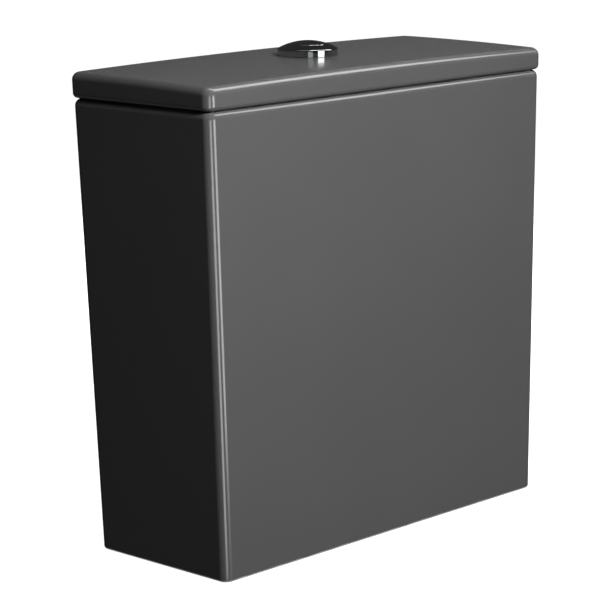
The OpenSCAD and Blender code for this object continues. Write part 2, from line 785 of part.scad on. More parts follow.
// Air-filled cup around the riser, open below
module fill_float() color(blue_plastic)
    at_inlet()
        difference() {
            rotate_extrude()
                polygon([
                    [riser_r + 0.5, cup_z], [riser_r + 2.3, cup_z], [riser_r + 2.3, cup_z + cup_h - 2],
                    [cup_r - 1.8, cup_z + cup_h - 2], [cup_r - 1.8, cup_z], [cup_r, cup_z],
                    [cup_r, cup_z + cup_h - 3], [cup_r - 3, cup_z + cup_h], [riser_r + 0.5, cup_z + cup_h]]);
            translate([link_x - link_set, 0, cup_z + cup_h - link_grip - 2]) cylinder(r = link_r + run_gap, h = 20);
        }

// Link from the float cup to the slot in the lever
module float_link() color(steel)
    at_inlet()
        translate([link_x, 0, 0]) {
            z0 = cup_z + cup_h - link_grip;
            z1 = link_pin_z - fork_drop;
            y = fork_gap / 2 + fork_t;
            translate([-link_set, 0, z0]) cylinder(r = link_r, h = z1 - 1 - z0);
            box([-fork_w / 2 - link_r, -y, z1 - bridge_t], [fork_w / 2, y, z1]);
            for (sy = [-1, 1])
                translate([0, sy * (y - fork_t / 2), 0])
                    box([-fork_w / 2, -fork_t / 2, z1 - 1], [fork_w / 2, fork_t / 2, link_pin_z + fork_w / 2]);
            translate([0, 0, link_pin_z]) rod_along_y(fork_pin_r, 1 - y, y - 1);
        }

// Pan fixing

module pan_bolts() color(steel)
    at_bolts() {
        translate([0, 0, -bolt_drop]) cylinder(r = bolt_r, h = bolt_drop + recess_h);
        translate([0, 0, recess_h - bolt_washer_t - bolt_nut_h - 0.5])
            cylinder(r = bolt_shank_r, h = floor_t + bolt_seal_h + bolt_washer_t + bolt_nut_h + 1);
        translate([0, 0, floor_z + bolt_seal_h])
            difference() {
                hex(bolt_r + bolt_head_over, bolt_head_h);
                box([-10, -slot_w / 2, bolt_head_h - slot_t], [10, slot_w / 2, bolt_head_h + 1]);
            }
    }

module bolt_seals() color(rubber)
    at_bolts()
        rotate_extrude()
            polygon([
                [bolt_shank_r + run_gap, floor_z - 6], [bolt_hole_r - 1.2, floor_z - 6], [bolt_hole_r - 0.3, floor_z],
                [bolt_hole_r + 6, floor_z], [bolt_hole_r + 6, floor_z + 2.5], [bolt_hole_r + 2, floor_z + bolt_seal_h],
                [bolt_shank_r + run_gap, floor_z + bolt_seal_h]]);

module bolt_washers() color(steel)
    at_bolts() tube(bolt_r + bolt_washer_over, bolt_shank_r + run_gap, recess_h - bolt_washer_t, recess_h);

module bolt_nuts() color(steel)
    at_bolts()
        translate([0, 0, recess_h - bolt_washer_t - bolt_nut_h])
            difference() {
                hex(bolt_r + bolt_head_over, bolt_nut_h);
                translate([0, 0, -1]) cylinder(r = bolt_shank_r + run_gap, h = bolt_nut_h + 2);
            }

tank();
lid();
button_bezel();
button_washer();
button_nut();
full_button();
half_button();
full_spring();
half_spring();
full_rod();
half_rod();
full_rod_nut();
half_rod_nut();
outlet_base();
base_washer();
outlet_nut();
pan_gasket();
valve_tower();
lever_frame();
lever_pin();
full_lever();
half_lever();
half_lifter();
lift_yoke();
overflow_tube();
outlet_float();
outlet_seal();
seal_clip();
half_float();
fill_body();
fill_washer();
fill_nut();
inlet_filter();
hush_pipe();
fill_diaphragm();
fill_cap();
fill_lever();
fill_lever_pin();
fill_float();
float_link();
pan_bolts();
bolt_seals();
bolt_washers();
bolt_nuts();
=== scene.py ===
import json
import math

import bmesh
import bpy
from mathutils import Matrix, Vector


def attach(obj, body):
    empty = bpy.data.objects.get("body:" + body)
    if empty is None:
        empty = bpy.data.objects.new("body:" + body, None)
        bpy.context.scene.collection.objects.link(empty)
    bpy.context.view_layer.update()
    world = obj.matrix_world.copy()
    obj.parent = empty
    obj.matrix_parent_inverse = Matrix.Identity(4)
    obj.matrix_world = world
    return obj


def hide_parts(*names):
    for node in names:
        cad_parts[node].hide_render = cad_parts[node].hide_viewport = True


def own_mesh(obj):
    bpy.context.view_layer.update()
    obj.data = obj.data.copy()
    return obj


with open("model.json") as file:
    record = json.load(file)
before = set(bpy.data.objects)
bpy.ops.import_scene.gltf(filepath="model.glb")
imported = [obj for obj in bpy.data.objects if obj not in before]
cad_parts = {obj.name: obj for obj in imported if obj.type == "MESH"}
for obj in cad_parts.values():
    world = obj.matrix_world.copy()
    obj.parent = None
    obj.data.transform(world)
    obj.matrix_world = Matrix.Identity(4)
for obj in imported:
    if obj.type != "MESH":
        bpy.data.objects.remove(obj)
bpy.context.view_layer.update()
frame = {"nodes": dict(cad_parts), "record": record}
cad = frame["nodes"]

# Sizes in millimetres, as in the part's source
RIM_W, FOOT_W = 365, 348
RIM_D, FOOT_D = 144, 135
TANK_H = 340
FRONT_Y = -80
WALL = 10
FLOOR_Z, RECESS_Z = 40, 28
CORNER_R = 7
RIM_R = 6
FOOT_R = 2.5
LID_OVER = 0.7
LID_FRONT, LID_BACK = 16.8, 19
CROWN_W, CROWN_D = 2, 0.8
LID_TOP_R, LID_FOOT_R = 6, 3.5
UNDER_Z = TANK_H + LID_FRONT - 9
LIP_Z = TANK_H - 7
BUTTON_Z = TANK_H + 20.412
BEZEL_R, BEZEL_H, BEZEL_EDGE, BEZEL_IN = 23, 5.5, 1.2, 15.8
SLEEVE_R, SLEEVE_IN, SLEEVE_L = 20.6, 18.6, 30
BUTTON_R, FLANGE_R, DOME_H = 15.5, 18.35, 5.9
HEAD_LOW, FLANGE_TOP = 2.5, 4.5
SPLIT_X, SPLIT_GAP = -2.5, 0.8
ROD_X, ROD_Y = 8, -8
STEM_R = 3.4
WATER_CORNER_R, RECESS_CORNER_R, FILLET_R = 12, 8, 4
RECESS_LOW_IN, RECESS_TOP_IN = 11.6, 14
RIM_INSIDE_R = 1.8
OUTLET_HOLE_R, INLET_HOLE_R, BOLT_HOLE_R = 31.5, 11.58, 6.5
INLET = (-122, -8)
BOLTS = ((-75, 0), (75, 0))
LIP_IN, LIP_CORNER_R, LIP_FOOT_R = 12, 10, 1.5
HOLLOW_LOW_IN, HOLLOW_TOP_IN, HOLLOW_CORNER_R = 17, 18, 9
SEAT_HOLE_R, SEAT_R = 21.2, 23.4
COLLAR_DEPTH, COLLAR_PITCH = 0.9, 3
SHANK_R, SHANK_BORE_R, BOLT_R, ROD_R = 10.48, 9.4, 4, 2
COARSE_DEPTH, FINE_DEPTH = 0.6, 0.28
MOULDED_R = 0.45


def half_w(z):
    return (FOOT_W + (RIM_W - FOOT_W) * z / TANK_H) / 2


def back_y(z):
    return FRONT_Y + FOOT_D + (RIM_D - FOOT_D) * z / TANK_H


# Modelling moves


def mm(*values):
    """Millimetres to metres: one number, or several as a tuple."""
    scaled = tuple(v * 0.001 for v in values)
    return scaled[0] if len(scaled) == 1 else scaled


def put_down():
    """Leaves edit mode and deselects everything."""
    if bpy.context.object and bpy.context.object.mode != "OBJECT":
        bpy.ops.object.mode_set(mode="OBJECT")
    bpy.ops.object.select_all(action="DESELECT")


def pick_up(piece):
    """Selects one piece alone, in object mode."""
    put_down()
    piece.select_set(True)
    bpy.context.view_layer.objects.active = piece


def open_up(piece):
    """Takes a piece into edit mode with everything selected."""
    pick_up(piece)
    bpy.ops.object.mode_set(mode="EDIT")
    bpy.ops.mesh.select_all(action="SELECT")


def named(name):
    piece = bpy.context.active_object
    piece.name = name
    piece.data.name = name
    return piece


def choose(piece, kind, test):
    """Selects the vertices, edges or faces that pass the test, and nothing else."""
    bpy.ops.mesh.select_mode(type=kind)
    bpy.ops.mesh.select_all(action="DESELECT")
    shape = bmesh.from_edit_mesh(piece.data)
    shape.normal_update()
    for part in {"VERT": shape.verts, "EDGE": shape.edges, "FACE": shape.faces}[kind]:
        if test(part):
            part.select_set(True)
    shape.select_flush_mode()
    bmesh.update_edit_mesh(piece.data)


def upright(edge):
    low, high = (v.co.z for v in edge.verts)
    return abs(high - low) > 0.9 * edge.calc_length()


def brim(up):
    """Test for edges where a level face, looking up (1) or down (-1), meets a wall."""

    def test(edge):
        tilts = sorted(face.normal.z * up for face in edge.link_faces)
        return len(tilts) == 2 and tilts[1] > 0.9 and tilts[0] < 0.5

    return test


def choose_open_edges():
    """Selects the edges of every hole in the mesh, and nothing else."""
    bpy.ops.mesh.select_mode(type="EDGE")
    bpy.ops.mesh.select_all(action="DESELECT")
    bpy.ops.mesh.select_non_manifold(
        extend=False, use_wire=False, use_boundary=True, use_multi_face=False,
        use_non_contiguous=False, use_verts=False,
    )


def ease(piece, test, radius, steps):
    """Rounds the edges that pass the test."""
    choose(piece, "EDGE", test)
    bpy.ops.mesh.bevel(offset=mm(radius), segments=steps, affect="EDGES", clamp_overlap=False)


def block(name, low, high):
    """A cube drawn out between two corners, left in edit mode."""
    put_down()
    bpy.ops.mesh.primitive_cube_add(size=1, location=(0, 0, 0), enter_editmode=True)
    piece = named(name)
    bpy.ops.transform.resize(value=mm(*(b - a for a, b in zip(low, high))))
    bpy.ops.transform.translate(value=mm(*((a + b) / 2 for a, b in zip(low, high))))
    return piece


def tapered(name, low, high, corner, steps):
    """A block between two levels, each (height, half width, front, back), with round upright edges."""
    z0, x0, f0, b0 = low
    z1, x1, f1, b1 = high
    piece = block(name, (-x0, f0, z0), (x0, b0, z1))
    choose(piece, "VERT", lambda v: v.co.z > mm(z0 + z1) / 2)
    bpy.ops.transform.resize(
        value=(x1 / x0, (b1 - f1) / (b0 - f0), 1), center_override=mm(0, (f0 + b0) / 2, z1)
    )
    bpy.ops.transform.translate(value=mm(0, (f1 + b1 - f0 - b0) / 2, 0))
    ease(piece, upright, corner, steps)
    return piece


def level(z, inset):
    """One level of the tank's taper, set in from its faces."""
    return z, half_w(z) - inset, FRONT_Y + inset, back_y(z) - inset


def turned(name, profile, around=(0, 0), sides=96, ring=False):
    """A piece turned about an upright axis: a circle drawn out along steps of (radius, height).

    A ring is closed from its last step to its first; otherwise both ends are capped.
    """
    put_down()
    x, y = around
    radius, height = profile[0]
    bpy.ops.mesh.primitive_circle_add(
        vertices=sides, radius=mm(radius), location=(0, 0, 0), enter_editmode=True
    )
    piece = named(name)
    bpy.ops.transform.translate(value=mm(x, y, height))
    for wide, high in profile[1:]:
        bpy.ops.mesh.extrude_region_move(TRANSFORM_OT_translate={"value": mm(0, 0, high - height)})
        bpy.ops.transform.resize(value=(wide / radius, wide / radius, 1), center_override=mm(x, y, high))
        radius, height = wide, high
    choose_open_edges()
    if ring:
        bpy.ops.mesh.bridge_edge_loops()
    else:
        bpy.ops.mesh.fill_holes(sides=0)
    bpy.ops.mesh.select_all(action="SELECT")
    bpy.ops.mesh.normals_make_consistent(inside=False)
    return piece


def arc(x, z, radius, start, stop, steps):
    """Points (x, z) along part of a circle, angles in degrees."""
    angles = [math.radians(start + (stop - start) * i / steps) for i in range(steps + 1)]
    return [(x + radius * math.cos(a), z + radius * math.sin(a)) for a in angles]


def add_modifier(piece, kind):
    pick_up(piece)
    bpy.ops.object.modifier_add(type=kind)
    return piece.modifiers[-1]


def apply_modifier(piece, modifier):
    pick_up(piece)
    bpy.ops.object.modifier_apply(modifier=modifier.name)


def wind(piece, rise, turns, steps):
    """Winds a profile round the upright axis, with a rise in millimetres for each turn."""
    screw = add_modifier(piece, "SCREW")
    screw.axis = "Z"
    screw.angle = 2 * math.pi
    screw.screw_offset = mm(rise)
    screw.iterations = turns
    screw.steps = steps
    screw.render_steps = steps
    apply_modifier(piece, screw)


def wound(name, radius, depth, pitch, low, high, steps):
    """A screw thread between two heights: a zigzag one pitch tall, wound up and trimmed."""
    put_down()
    bpy.ops.mesh.primitive_plane_add(size=mm(1), location=(0, 0, 0), enter_editmode=True)
    piece = named(name)
    choose(piece, "VERT", lambda v: v.index > 0)
    bpy.ops.mesh.delete(type="VERT")
    bpy.ops.mesh.select_all(action="SELECT")
    bpy.ops.transform.translate(value=mm(radius - depth + 0.5, 0.5, low - pitch))
    for out, up in ((0, 0.1), (depth, 0.38), (0, 0.14), (-depth, 0.38)):
        bpy.ops.mesh.extrude_region_move(TRANSFORM_OT_translate={"value": mm(out, 0, up * pitch)})
    wind(piece, pitch, math.ceil((high - low) / pitch) + 2, steps)
    open_up(piece)
    bpy.ops.mesh.remove_doubles(threshold=1e-6)
    bpy.ops.mesh.bisect(plane_co=mm(0, 0, low), plane_no=(0, 0, 1), use_fill=True, clear_inner=True)
    bpy.ops.mesh.select_all(action="SELECT")
    bpy.ops.mesh.bisect(plane_co=mm(0, 0, high), plane_no=(0, 0, 1), use_fill=True, clear_outer=True)
    bpy.ops.mesh.select_all(action="SELECT")
    bpy.ops.mesh.normals_make_consistent(inside=False)
    return piece


def combine(piece, tool, how):
    """Cuts a tool out of a piece, or joins it on, and throws the tool away."""
    change = add_modifier(piece, "BOOLEAN")
    change.operation = how
    change.solver = "EXACT"
    change.object = tool
    apply_modifier(piece, change)
    pick_up(tool)
    bpy.ops.object.delete()


def join(piece, *others):
    """Makes other pieces part of the first one's mesh."""
    pick_up(piece)
    for other in others:
        other.select_set(True)
    bpy.ops.object.join()
    return piece


def copied(piece, name, shift):
    """A copy with a mesh of its own, moved by a shift in millimetres."""
    pick_up(piece)
    bpy.ops.object.duplicate(linked=False)
    twin = named(name)
    open_up(twin)
    bpy.ops.transform.translate(value=mm(*shift))
    put_down()
    return twin


def settle(piece, angle=35):
    """Shades by angle, with the normals weighted towards the flat faces."""
    pick_up(piece)
    bpy.ops.object.shade_smooth_by_angle(angle=math.radians(angle))
    weights = add_modifier(piece, "WEIGHTED_NORMAL")
    weights.keep_sharp = True
    apply_modifier(piece, weights)
    return piece


def hand_over(piece, body, slot, material, *stands_for):
    """Gives a finished piece its material and its place in the frame."""
    piece.data.materials.clear()
    piece.data.materials.append(material)
    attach(piece, body)
    if stands_for:
        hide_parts(*stands_for)
    return piece


# Shader node groups


def new_group(name, inputs, outputs):
    """An empty node group with its sockets, each a (name, kind, default) or (name, kind)."""
    group = bpy.data.node_groups.new(name, "ShaderNodeTree")
    for label, kind, default in inputs:
        socket = group.interface.new_socket(name=label, in_out="INPUT", socket_type="NodeSocket" + kind)
        if default is not None:
            socket.default_value = default
    for label, kind in outputs:
        group.interface.new_socket(name=label, in_out="OUTPUT", socket_type="NodeSocket" + kind)
    return group, group.nodes.new("NodeGroupInput"), group.nodes.new("NodeGroupOutput")


def noise_node(tree, scale, detail, roughness=0.5):
    node = tree.nodes.new("ShaderNodeTexNoise")
    node.inputs["Scale"].default_value = scale
    node.inputs["Detail"].default_value = detail
    node.inputs["Roughness"].default_value = roughness
    return node


def map_node(tree, low, high, to_low=0.0, to_high=1.0):
    node = tree.nodes.new("ShaderNodeMapRange")
    node.inputs["From Min"].default_value = low
    node.inputs["From Max"].default_value = high
    node.inputs["To Min"].default_value = to_low
    node.inputs["To Max"].default_value = to_high
    return node


def tone_drift_group():
    """A colour that wanders a little lighter and darker over the surface."""
    group, given, result = new_group(
        "tone_drift",
        [("Vector", "Vector", None), ("Color", "Color", (0.5, 0.5, 0.5, 1)), ("Scale", "Float", 20.0),
         ("Amount", "Float", 0.1)],
        [("Color", "Color")],
    )
    noise = noise_node(group, 20, 4)
    spread = map_node(group, 0.3, 0.7, -1, 1)
    amount = group.nodes.new("ShaderNodeMath")
    amount.operation = "MULTIPLY_ADD"
    amount.inputs[2].default_value = 1
    tint = group.nodes.new("ShaderNodeVectorMath")
    tint.operation = "SCALE"
    link = group.links.new
    link(given.outputs["Vector"], noise.inputs["Vector"])
    link(given.outputs["Scale"], noise.inputs["Scale"])
    link(noise.outputs["Fac"], spread.inputs["Value"])
    link(spread.outputs["Result"], amount.inputs[0])
    link(given.outputs["Amount"], amount.inputs[1])
    link(given.outputs["Color"], tint.inputs[0])
    link(amount.outputs["Value"], tint.inputs["Scale"])
    link(tint.outputs["Vector"], result.inputs["Color"])
    return group


def sheen_drift_group():
    """A roughness that wanders between two values, as on a wiped or handled surface."""
    group, given, result = new_group(
        "sheen_drift",
        [("Vector", "Vector", None), ("Scale", "Float", 15.0), ("Low", "Float", 0.1),
         ("High", "Float", 0.2)],
        [("Roughness", "Float")],
    )
    noise = noise_node(group, 15, 5, 0.6)
    spread = map_node(group, 0.3, 0.7)
    link = group.links.new
    link(given.outputs["Vector"], noise.inputs["Vector"])
    link(given.outputs["Scale"], noise.inputs["Scale"])
    link(noise.outputs["Fac"], spread.inputs["Value"])
    link(given.outputs["Low"], spread.inputs["To Min"])
    link(given.outputs["High"], spread.inputs["To Max"])
    link(spread.outputs["Result"], result.inputs["Roughness"])
    return group


def ripple_group():
    """A height made of broad swells and a fine grain, for glaze and moulded plastic."""
    group, given, result = new_group(
        "ripple",
        [("Vector", "Vector", None), ("Swell", "Float", 25.0), ("Grain", "Float", 900.0),
         ("Grain Share", "Float", 0.1)],
        [("Height", "Float")],
    )
    swell = noise_node(group, 25, 1)
    grain = noise_node(group, 900, 2)
    total = group.nodes.new("ShaderNodeMath")
    total.operation = "MULTIPLY_ADD"
    link = group.links.new
    for noise, size in ((swell, "Swell"), (grain, "Grain")):
        link(given.outputs["Vector"], noise.inputs["Vector"])
        link(given.outputs[size], noise.inputs["Scale"])
    link(grain.outputs["Fac"], total.inputs[0])
    link(given.outputs["Grain Share"], total.inputs[1])
    link(swell.outputs["Fac"], total.inputs[2])
    link(total.outputs["Value"], result.inputs["Height"])
    return group


def bare_foot_group():
    """A mask of what lies under a height, where the ware stood in the kiln, with a wandering edge."""
    group, given, result = new_group(
        "bare_foot", [("Vector", "Vector", None), ("Height", "Float", 0.0)], [("Mask", "Float")]
    )
    noise = noise_node(group, 60, 3)
    apart = group.nodes.new("ShaderNodeSeparateXYZ")
    wander = group.nodes.new("ShaderNodeMath")
    wander.operation = "MULTIPLY_ADD"
    wander.inputs[1].default_value = 0.0012
    over = group.nodes.new("ShaderNodeMath")
    over.operation = "SUBTRACT"
    edge = map_node(group, 0.0003, 0.0009, 1, 0)
    link = group.links.new
    link(given.outputs["Vector"], noise.inputs["Vector"])
    link(given.outputs["Vector"], apart.inputs["Vector"])
    link(noise.outputs["Fac"], wander.inputs[0])
    link(apart.outputs["Z"], wander.inputs[2])
    link(wander.outputs["Value"], over.inputs[0])
    link(given.outputs["Height"], over.inputs[1])
    link(over.outputs["Value"], edge.inputs["Value"])
    link(edge.outputs["Result"], result.inputs["Mask"])
    return group


TONE_DRIFT = tone_drift_group()
SHEEN_DRIFT = sheen_drift_group()
RIPPLE = ripple_group()
BARE_FOOT = bare_foot_group()


# Materials


def finish(name, plain):
    """A material whose even values sit on its shader's own sockets; gives its parts to link to."""
    material = bpy.data.materials.new(name)
    material.use_nodes = True
    tree = material.node_tree
    shader = tree.nodes["Principled BSDF"]
    for socket, value in plain.items():
        shader.inputs[socket].default_value = value
    place = tree.nodes.new("ShaderNodeTexCoord")
    return material, tree, shader, place.outputs["Object"]


def use_group(tree, group, place, **values):
    """Places a node group and sets its values; underscores stand for spaces."""
    node = tree.nodes.new("ShaderNodeGroup")
    node.node_tree = group
    tree.links.new(place, node.inputs["Vector"])
    for socket, value in values.items():
        node.inputs[socket.replace("_", " ")].default_value = value
    return node


def add_bump(tree, shader, height, strength, depth):
    bump = tree.nodes.new("ShaderNodeBump")
    bump.inputs["Strength"].default_value = strength
    bump.inputs["Distance"].default_value = depth
    tree.links.new(height, bump.inputs["Height"])
    tree.links.new(bump.outputs["Normal"], shader.inputs["Normal"])


def glazed_china(name, bare_below):
    """Dark grey glaze over a pale body, which shows on the foot that the ware was fired on."""
    material, tree, shader, place = finish(name, {"IOR": 1.6})
    tone = use_group(tree, TONE_DRIFT, place, Color=(0.078, 0.078, 0.079, 1), Scale=9.0, Amount=0.03)
    sheen = use_group(tree, SHEEN_DRIFT, place, Scale=14.0, Low=0.16, High=0.2)
    ripple = use_group(tree, RIPPLE, place, Swell=18.0, Grain=700.0, Grain_Share=0.04)
    bare = use_group(tree, BARE_FOOT, place, Height=bare_below)
    body = use_group(tree, TONE_DRIFT, place, Color=(0.55, 0.51, 0.45, 1), Scale=240.0, Amount=0.12)
    colour = tree.nodes.new("ShaderNodeMix")
    colour.data_type = "RGBA"
    rough = tree.nodes.new("ShaderNodeMix")
    rough.inputs["B"].default_value = 0.85
    link = tree.links.new
    link(bare.outputs["Mask"], colour.inputs["Factor"])
    link(tone.outputs["Color"], colour.inputs[6])
    link(body.outputs["Color"], colour.inputs[7])
    link(colour.outputs[2], shader.inputs["Base Color"])
    link(bare.outputs["Mask"], rough.inputs["Factor"])
    link(sheen.outputs["Roughness"], rough.inputs["A"])
    link(rough.outputs["Result"], shader.inputs["Roughness"])
    add_bump(tree, shader, ripple.outputs["Height"], 0.03, 0.0006)
    return material


def fine_surface(name, plain, tone, sheen, ripple, bump, stretch=None):
    """A material whose tone and sheen wander and whose skin is rippled.

    Tone is (colour, scale, amount), sheen is (scale, low, high), ripple is (swell, grain, grain share) and
    bump is (strength, depth). Stretch draws the patterns out along an axis.
    """
    material, tree, shader, place = finish(name, plain)
    if stretch:
        mapping = tree.nodes.new("ShaderNodeMapping")
        mapping.inputs["Scale"].default_value = stretch
        tree.links.new(place, mapping.inputs["Vector"])
        place = mapping.outputs["Vector"]
    colour, size, amount = tone
    drift = use_group(tree, TONE_DRIFT, place, Color=colour, Scale=size, Amount=amount)
    size, low, high = sheen
    gloss = use_group(tree, SHEEN_DRIFT, place, Scale=size, Low=low, High=high)
    swell, grain, share = ripple
    skin = use_group(tree, RIPPLE, place, Swell=swell, Grain=grain, Grain_Share=share)
    tree.links.new(drift.outputs["Color"], shader.inputs["Base Color"])
    tree.links.new(gloss.outputs["Roughness"], shader.inputs["Roughness"])
    add_bump(tree, shader, skin.outputs["Height"], *bump)
    return material


def moulded_plastic(name, colour, low, high):
    """Injection moulded plastic: a faint flow in its colour and a fine tool grain."""
    return fine_surface(
        name, {"IOR": 1.5}, (colour, 35.0, 0.05), (60.0, low, high), (80.0, 3500.0, 0.5), (0.15, 0.0001)
    )


# Heights in metres under which the ware is unglazed
TANK_BARE, LID_BARE = 0.0016, 0.3346
TANK_CHINA = glazed_china("tank_china", TANK_BARE)
LID_CHINA = glazed_china("lid_china", LID_BARE)
CHROME = fine_surface(
    "bright_chrome", {"Metallic": 1.0}, ((0.42, 0.425, 0.43, 1), 120.0, 0.03), (220.0, 0.04, 0.075),
    (160.0, 2500.0, 0.02), (0.02, 0.0001),
)
FINISHES = {
    "white_plastic": moulded_plastic("white_plastic", (0.78, 0.79, 0.77, 1), 0.32, 0.42),
    "blue_plastic": moulded_plastic("blue_plastic", (0.075, 0.2, 0.4, 1), 0.3, 0.4),
    "grey_plastic": moulded_plastic("grey_plastic", (0.27, 0.29, 0.3, 1), 0.34, 0.46),
    "rubber": fine_surface(
        "black_rubber", {"IOR": 1.5}, ((0.022, 0.022, 0.022, 1), 90.0, 0.25), (120.0, 0.55, 0.75),
        (400.0, 5000.0, 0.8), (0.3, 0.0001),
    ),
    # Stainless steel with faint marks along its length
    "steel": fine_surface(
        "drawn_steel", {"Metallic": 1.0}, ((0.56, 0.55, 0.53, 1), 900.0, 0.1), (1200.0, 0.22, 0.36),
        (900.0, 4000.0, 0.6), (0.1, 0.00005), stretch=(1, 1, 0.06),
    ),
}


# China


def drill(name, radius, around, sides):
    """A rod that stands through the tank's floor, to be cut out of it."""
    return turned(name, [(radius, RECESS_Z - 8), (radius, FLOOR_Z + 10)], around, sides)


def build_tank():
    tank = tapered("tank_ware", level(0, 0), level(TANK_H, 0), CORNER_R, 12)
    ease(tank, brim(-1), FOOT_R, 5)
    ease(tank, brim(1), RIM_R, 10)

    water = tapered("water_space", level(FLOOR_Z, WALL), level(TANK_H + 10, WALL), WATER_CORNER_R, 10)
    ease(water, brim(-1), FILLET_R, 5)
    combine(tank, water, "DIFFERENCE")

    recess = tapered(
        "foot_recess", level(-6, RECESS_LOW_IN), level(RECESS_Z, RECESS_TOP_IN), RECESS_CORNER_R, 8
    )
    ease(recess, brim(1), FILLET_R, 5)
    combine(tank, recess, "DIFFERENCE")

    drills = [
        drill("outlet_drill", OUTLET_HOLE_R, (0, 0), 96),
        drill("inlet_drill", INLET_HOLE_R, INLET, 48),
    ]
    drills += [drill("bolt_drill", BOLT_HOLE_R, bolt, 48) for bolt in BOLTS]
    combine(tank, join(*drills), "DIFFERENCE")

    open_up(tank)
    rim_inside = brim(1)
    ease(tank, lambda e: rim_inside(e) and min(v.co.z for v in e.verts) > mm(TANK_H - 1), RIM_INSIDE_R, 4)
    settle(tank)
    return hand_over(tank, "tank", "china", TANK_CHINA, "tank")


def raise_row(lid, axis, at, rise):
    """Lifts one row of the lid's top, which lies across the axis at a place."""
    choose(lid, "VERT", lambda v: v.co.z > mm(TANK_H + 8) and abs(v.co[axis] - at) < 1e-6)
    bpy.ops.transform.translate(value=(0, 0, rise))


def build_lid():
    top = TANK_H + LID_FRONT
    lid = tapered("lid_ware", level(TANK_H, -LID_OVER), level(top, -LID_OVER), CORNER_R, 12)

    # Rows across the top that carry the crown
    wide = half_w(top) + LID_OVER
    front, back = FRONT_Y - LID_OVER, back_y(top) + LID_OVER
    for i in range(1, 20):
        bpy.ops.mesh.select_all(action="SELECT")
        bpy.ops.mesh.bisect(plane_co=mm((i / 10 - 1) * (wide - 4), 0, 0), plane_no=(1, 0, 0))
    for i in range(1, 8):
        bpy.ops.mesh.select_all(action="SELECT")
        bpy.ops.mesh.bisect(plane_co=mm(0, front + (back - front) * i / 8, 0), plane_no=(0, 1, 0))
    shape = bmesh.from_edit_mesh(lid.data)
    tops = [v.co.copy() for v in shape.verts if v.co.z > mm(TANK_H + 8)]
    for x in sorted({round(p.x, 7) for p in tops}):
        u = x / mm(wide)
        raise_row(lid, 0, x, mm(CROWN_W) * (1 - u * u))
    for y in sorted({round(p.y, 7) for p in tops}):
        v = (y - mm(front)) / mm(back - front)
        raise_row(lid, 1, y, mm(LID_BACK - LID_FRONT) * v + mm(CROWN_D) * 4 * v * (1 - v))
    ease(lid, brim(1), LID_TOP_R, 10)
    ease(lid, brim(-1), LID_FOOT_R, 6)

    lip = tapered("lid_lip", level(LIP_Z, LIP_IN), level(TANK_H + 2, LIP_IN), LIP_CORNER_R, 8)
    ease(lip, brim(-1), LIP_FOOT_R, 3)
    combine(lid, lip, "UNION")
    hollow = tapered(
        "lid_hollow", level(LIP_Z - 4, HOLLOW_LOW_IN), level(UNDER_Z, HOLLOW_TOP_IN), HOLLOW_CORNER_R, 8
    )
    ease(hollow, brim(1), FILLET_R, 5)
    combine(lid, hollow, "DIFFERENCE")
    low, high = TANK_H - 15, TANK_H + 40
    seat = [(SEAT_HOLE_R, low), (SEAT_HOLE_R, BUTTON_Z), (SEAT_R, BUTTON_Z), (SEAT_R, high)]
    combine(lid, turned("button_seat", seat), "DIFFERENCE")
    settle(lid)
    return hand_over(lid, "lid", "china", LID_CHINA, "lid")


# Push button


DOME_R = (BEZEL_R ** 2 + DOME_H ** 2) / (2 * DOME_H)
DOME_MID = BEZEL_H + DOME_H - DOME_R


def dome_at(r):
    """Height of the dome, which runs over bezel and button, above the lid's seat at a radius."""
    return BUTTON_Z + DOME_MID + math.sqrt(DOME_R ** 2 - r * r)


def build_bezel():
    z = BUTTON_Z
    edge_mid = DOME_MID + math.sqrt((DOME_R - BEZEL_EDGE) ** 2 - (BEZEL_R - BEZEL_EDGE) ** 2)
    edge_turn = math.degrees(math.atan2(edge_mid - DOME_MID, BEZEL_R - BEZEL_EDGE))
    lip = z + FLANGE_TOP + 0.3
    wall = [(SLEEVE_IN, z - SLEEVE_L), (SLEEVE_R - 1.2, z - SLEEVE_L), (SLEEVE_R - 1.2, z - 0.2),
            (SLEEVE_R, z), (BEZEL_R - 0.3, z), (BEZEL_R, z + 0.3)]
    wall += arc(BEZEL_R - BEZEL_EDGE, z + edge_mid, BEZEL_EDGE, 0, edge_turn, 8)
    wall += [(r, dome_at(r)) for r in (21, 20, 19, 18, 17, 16.5)]
    wall += arc(BEZEL_IN + 0.45, dome_at(BEZEL_IN + 0.45) - 0.45, 0.45, 72, 180, 6)
    wall += [(BEZEL_IN, lip + 0.2), (BEZEL_IN + 0.2, lip), (SLEEVE_IN, lip)]
    bezel = turned("button_collar", wall, sides=128, ring=True)
    thread = wound("collar_thread", SLEEVE_R, COLLAR_DEPTH, COLLAR_PITCH, z - SLEEVE_L, z - 3, steps=64)
    bore = turned("collar_bore", [(SLEEVE_IN + 0.3, z - SLEEVE_L - 1), (SLEEVE_IN + 0.3, z)])
    combine(thread, bore, "DIFFERENCE")
    plate = turned("guide_plate", [(SLEEVE_IN + 0.4, z - SLEEVE_L), (SLEEVE_IN + 0.4, z - SLEEVE_L + 3)])
    holes = [
        turned(name, [(radius, z - SLEEVE_L - 1), (radius, z - SLEEVE_L + 4)], around, 32)
        for name, radius, around in (
            ("full_guide", STEM_R + 0.3, (ROD_X, ROD_Y)),
            ("half_guide", STEM_R + 0.3, (-ROD_X, ROD_Y)),
            ("drain", 5, (0, ROD_X)),
        )
    ]
    combine(plate, join(*holes), "DIFFERENCE")
    join(bezel, thread, plate)
    settle(bezel)
    return hand_over(bezel, "lid", "chrome", CHROME, "button_bezel")


